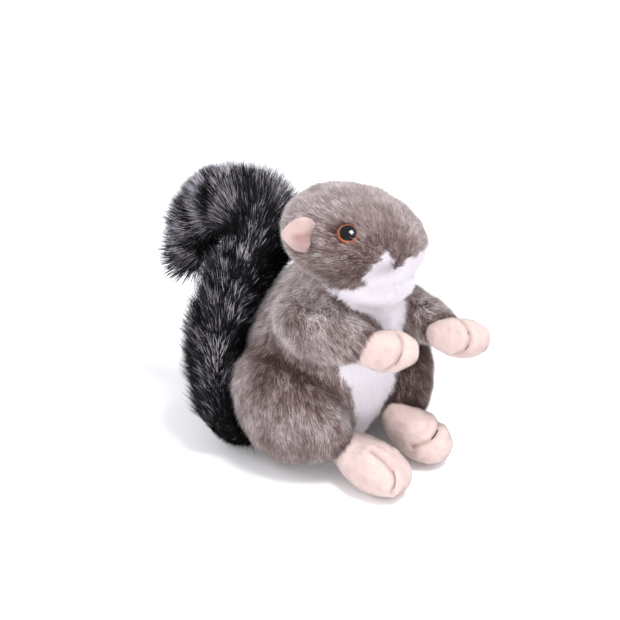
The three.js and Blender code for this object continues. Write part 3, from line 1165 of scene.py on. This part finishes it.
def grow_on_body(node, floor, rng):
    length, width, per_mm2 = BODY_COATS[node]
    spots = scatter(floor, rng, per_mm2=per_mm2, closer=face_share if node == "head" else None)
    if node == "head":
        kept = np.ones(len(spots[0]), bool)
        for eye in EYE_NODES:
            aside, along = off_axis(spots[0], eye)
            kept &= (aside > mm(EYE_RADIUS + 0.3)) | (abs(along) > mm(EYE_REACH))
        spots = [values[kept] for values in spots]
    roots, outs, _ = spots
    small = face_share(roots) * (node == "head")
    lengths, widths = mm(length) * (1 - FACE_SHORTER * small), mm(width) * (1 - FACE_FINER * small)
    brush = body_brush(node, brushed(node, roots), lengths, widths, roots, outs, rng)
    if node == "head":
        parted(brush, roots)
    grow(node, spots, brush, roots[:, 1], 1 + len(roots) // MOST_TUFTS, (pile, "body_plush"))


def tail_brush(roots, outs, rng):
    """How the tail's pile lies: long and shaggy, in locks that run along its strands, short on the floor."""
    count = len(roots)
    x, y, z = roots.T
    nearest = nearest_on_course(roots)
    share = nearest / COURSE_STEPS
    streaks = streaked(roots, share)
    belongs, middle = gathered(streaks, rng, TAIL_LOCK)
    lock_tone = rng.normal(0, 1, count)[belongs]
    way = brushed_tail(roots, nearest)
    longer = 0.8 * rising(share, 0.86, 0.1) + 0.3 * falling(share, 0.5, 0.1)
    longer += 0.45 * falling(y, mm(64), mm(10)) * rising(z, mm(120), mm(10))
    straight = (unit(way) * outs).sum(1)
    low = falling(z, mm(34), mm(14))
    short = low * np.maximum(rising(abs(straight), 0.7, 0.2), falling(outs[:, 2], 0, 0.5))
    shaded = 0.4 * close_to(roots, whole_body, 18)
    tone = TAIL_TONE - shaded - 0.03 * falling(share, 0.3, 0.1)
    tone += 0.1 * rising(share, 0.58, 0.1) + 0.06 * rising(y, mm(80), mm(10))
    inner = rising(x, -mm(14), mm(10)) * rising(z, mm(100), mm(15))
    lift = TAIL_LIFT + 14 * inner + 22 * rising(straight, 0.45, 0.4) * (1 - low) + 8 * ripple(roots, 14, 32)
    stray = 7 * ripple(roots, 30, 31) + rng.normal(0, 8, count)
    length = mm(TAIL_LENGTH) * (1 + longer) * rng.uniform(0.6, 1.25, count) * (1 - 0.55 * short)
    lift += rng.normal(0, 8, count)
    width = mm(TAIL_WIDTH) * rng.uniform(0.7, 1.3, count)
    tone += STREAK_TONE * ripple(streaks, 12, 33) + TAIL_LOCK_TONE * lock_tone
    tone += rng.normal(0, TAIL_HAIR_TONE, count)
    lift += (FLAT_LIFT - lift) * short
    lock = (roots[middle] - roots) * TAIL_DRAW
    return dict(way=way, stray=stray, length=length, lift=lift, width=width, lock=lock, tone=tone)


def grow_on_tail(node, floor, rng):
    spots = scatter(floor, rng, count=TAIL_TUFTS)
    brush = tail_brush(*spots[:2], rng)
    grow(node, spots, brush, spots[0][:, 2], 2, (long_pile, "tail_plush"), rings=2, bend=TAIL_BEND)


def white_on_cover(at):
    """How white the body's cover is: as its pile, but only where the head or the trunk lies nearest."""
    gaps = np.array([distances(at, ON_BODY[node]) for node in BODY_NODES])
    own = np.array([node in WHITE_NODES for node in BODY_NODES])
    return whiteness(at) * (gaps[own].min(0) < gaps[~own].min(0))


ON_BODY = {node: surface_of(cad[node]) for node in (*BODY_NODES, *PAW_NODES)}
eye_seats = {}
add_camera()
add_studio()
paws = {node: make_paw(node) for node in PAW_NODES}
ears = {node: make_ear(node) for node in EAR_NODES}
eyes = {node: make_eye(node) for node in EYE_NODES}
body = without(make_body(), *paws.values())
tail = make_tail()

pile, long_pile = plush("brushed modacrylic plush"), tail_plush("long modacrylic plush")
nap, acrylic = velour("polyester velour"), eye_acrylic("polished acrylic")
thread, _, _ = started("polyester thread", {"Base Color": linear("#2a2023"), "Roughness": 0.6})

nearest, clear = region(body, ON_BODY.values(), (*paws.values(), *eyes.values()))
for k, node in enumerate(BODY_COATS):
    chosen = (nearest == list(ON_BODY).index(node)) & clear
    grow_on_body(node, ground(body, chosen), np.random.default_rng(BODY_SEED + k))

whole_body = surface_of(body)
nearest, _ = region(tail, [surface_of(cad[node]) for node in TAIL_NODES])
for k, node in enumerate(TAIL_NODES):
    grow_on_tail(node, ground(tail, nearest == k), np.random.default_rng(TAIL_SEED + k))

for cover, material, slot, nodes in (
    (body, pile, "body_plush", BODY_NODES),
    (tail, long_pile, "tail_plush", TAIL_NODES),
):
    at = places(cover)
    note(cover, "along", np.full(len(at), COVER_ALONG))
    note(cover, "tone", COVER_TONE + COVER_WAVE * ripple(at, 6, 41))
    dressed(cover, material, slot, *nodes)
note(body, "white", white_on_cover(places(body)))
for k, (node, piece) in enumerate((paws | ears).items()):
    dressed(make_nap(node, piece, np.random.default_rng(NAP_SEED + k)), nap, "velour")
for node, paw in paws.items():
    dressed(paw, nap, "velour", node)
    for k, (marks, thick) in enumerate(TOE_THREADS[node]):
        run = run_on(surface_of(paw), marks)
        dressed(make_thread(f"{node}_thread_{k + 1}", run, thick), thread, "velour")
dressed(make_nose(), thread, "velour")
for node, ear in ears.items():
    dressed(ear, nap, "velour", node)
for node, eye in eyes.items():
    dressed(eye, acrylic, "eye_plastic", node)
